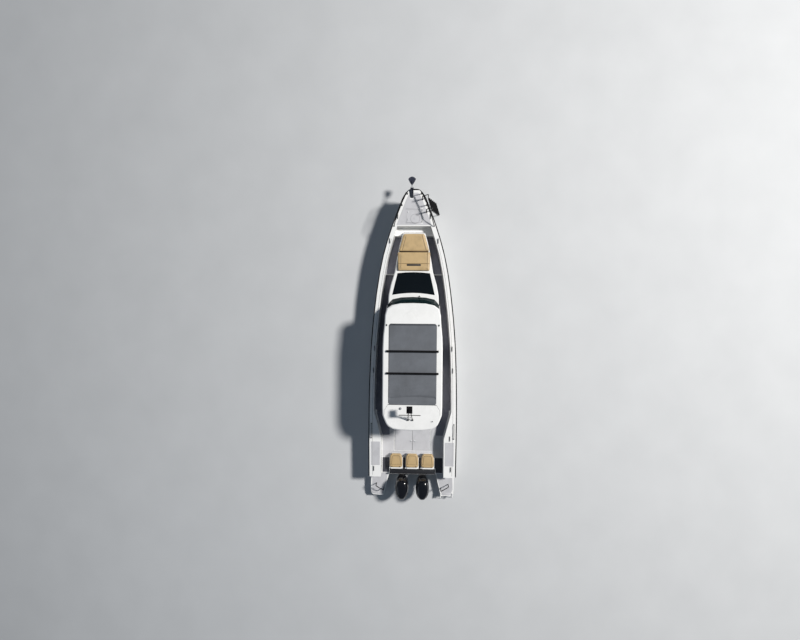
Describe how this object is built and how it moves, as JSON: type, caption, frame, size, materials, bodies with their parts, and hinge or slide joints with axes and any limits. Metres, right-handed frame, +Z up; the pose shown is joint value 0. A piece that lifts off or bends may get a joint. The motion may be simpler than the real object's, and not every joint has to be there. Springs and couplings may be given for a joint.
{
  "type": "walkaround motor cruiser",
  "caption": "Rigid walkaround motor cruiser with a hardtop wheelhouse, sliding canvas roof, foredeck sunpad, swim platforms and outboards.",
  "frame": {"origin": "on the centreline at the waterline, at the transom face", "axes": "+X to the bow, +Y to port, +Z up"},
  "size_m": [12.32, 3.336, 4.225],
  "materials": {
    "gelcoat_hull": "gloss",
    "gelcoat_deck": "gloss",
    "rub_strip": "satin",
    "non_slip": "matt",
    "dark_glass": "gloss",
    "clear_glass": "gloss",
    "canvas": "woven",
    "black_metal": "satin",
    "steel": "brushed",
    "anchor_metal": "satin",
    "cushion_tan": "soft vinyl",
    "console_grey": "matt",
    "wheel_black": "matt",
    "lever_dark": "satin",
    "berth_fabric": "woven",
    "door_panel": "gloss",
    "motor_black": "gloss",
    "motor_dark": "satin",
    "prop_metal": "satin"
  },
  "bodies": {
    "boat": {"hull": "gelcoat_hull", "deck_moulding": "gelcoat_hull", "rub_rail": "rub_strip", "deck_panels": "non_slip", "coachroof": "gelcoat_deck", "windows": "dark_glass", "wheelhouse_sides": "gelcoat_deck", "windscreen": "clear_glass", "roof": "gelcoat_deck", "roof_rack": "black_metal", "helm_console": "console_grey", "throttle": "lever_dark", "helm_seats": "gelcoat_deck", "helm_seat_cushions": "cushion_tan", "sofa_base": "gelcoat_deck", "sofa_cushions": "cushion_tan", "aft_seat_shells": "gelcoat_deck", "aft_seat_cushions": "cushion_tan", "sunpad": "cushion_tan", "cabin_berth": "berth_fabric", "deck_rails": "black_metal", "bow_ladder": "black_metal", "bow_roller": "steel", "anchor": "anchor_metal", "deck_cleats": "black_metal", "swim_platforms": "gelcoat_deck", "wiper": "black_metal", "clamp_brackets": "motor_dark"},
    "wheel": {"steering_wheel": "wheel_black"},
    "canopy": {"canopy_bow": "black_metal", "roof_canvas": "canvas"},
    "mast": {"light_mast": "black_metal"},
    "cabin_door": {"cabin_door": "door_panel"},
    "locker_lid": {"anchor_locker_lid": "non_slip"},
    "hatch_port": {"cockpit_hatch_port": "non_slip"},
    "hatch_starboard": {"cockpit_hatch_starboard": "non_slip"},
    "stern_ladder": {"swim_ladder": "steel"},
    "swivel_port": {"swivel_bracket_port": "motor_dark"},
    "outboard_port": {"outboard_cowl_port": "motor_black", "outboard_leg_port": "motor_dark"},
    "prop_port": {"propeller_port": "prop_metal"},
    "swivel_starboard": {"swivel_bracket_starboard": "motor_dark"},
    "outboard_starboard": {"outboard_cowl_starboard": "motor_black", "outboard_leg_starboard": "motor_dark"},
    "prop_starboard": {"propeller_starboard": "prop_metal"}
  },
  "joints": [
    {"name": "helm_wheel", "type": "hinge", "parent": "boat", "child": "wheel", "pos_m": [5.84, -0.48, 1.44], "axis": [-0.9063, 0, 0.4226], "range_deg": [-540, 540]},
    {"name": "canopy_slide", "type": "slide", "parent": "boat", "child": "canopy", "axis": [-1, 0, 0], "range_m": [0, 2.3], "deforming": ["roof_canvas"]},
    {"name": "mast_fold", "type": "hinge", "parent": "boat", "child": "mast", "pos_m": [2.46, 0.06, 2.552], "axis": [0, 1, 0], "range_deg": [0, 45]},
    {"name": "cabin_door_swing", "type": "hinge", "parent": "boat", "child": "cabin_door", "pos_m": [6.406, 0.614, 0.96], "axis": [0, 0, -1], "range_deg": [0, 95]},
    {"name": "locker_lid_lift", "type": "hinge", "parent": "boat", "child": "locker_lid", "pos_m": [9.875, -0.292, 1.346], "axis": [1, 0, 0], "range_deg": [0, 80]},
    {"name": "hatch_port_lift", "type": "hinge", "parent": "boat", "child": "hatch_port", "pos_m": [1.6, 0.7, 0.444], "axis": [-1, 0, 0], "range_deg": [0, 85]},
    {"name": "hatch_starboard_lift", "type": "hinge", "parent": "boat", "child": "hatch_starboard", "pos_m": [1.6, -0.7, 0.444], "axis": [1, 0, 0], "range_deg": [0, 85]},
    {"name": "stern_ladder_fold", "type": "hinge", "parent": "boat", "child": "stern_ladder", "pos_m": [-0.932, -1.34, 0.4], "axis": [0, 1, 0], "range_deg": [0, 175]},
    {"name": "tilt_port", "type": "hinge", "parent": "boat", "child": "swivel_port", "pos_m": [-0.05, 0.39, 0.64], "axis": [0, 1, 0], "range_deg": [0, 60]},
    {"name": "steer_port", "type": "hinge", "parent": "swivel_port", "child": "outboard_port", "pos_m": [-0.115, 0.39, 0.4], "axis": [0, 0, 1], "range_deg": [-30, 30]},
    {"name": "prop_port_spin", "type": "hinge", "parent": "outboard_port", "child": "prop_port", "pos_m": [-0.64, 0.39, -0.58], "axis": [1, 0, 0], "continuous": true},
    {"name": "tilt_starboard", "type": "hinge", "parent": "boat", "child": "swivel_starboard", "pos_m": [-0.05, -0.39, 0.64], "axis": [0, 1, 0], "range_deg": [0, 60]},
    {"name": "steer_starboard", "type": "hinge", "parent": "swivel_starboard", "child": "outboard_starboard", "pos_m": [-0.115, -0.39, 0.4], "axis": [0, 0, 1], "range_deg": [-30, 30]},
    {"name": "prop_starboard_spin", "type": "hinge", "parent": "outboard_starboard", "child": "prop_starboard", "pos_m": [-0.64, -0.39, -0.58], "axis": [1, 0, 0], "continuous": true}
  ],
  "couplings": [
    {"joint": "steer_port", "follows": "helm_wheel", "ratio": -0.055556},
    {"joint": "steer_starboard", "follows": "helm_wheel", "ratio": -0.055556}
  ]
}
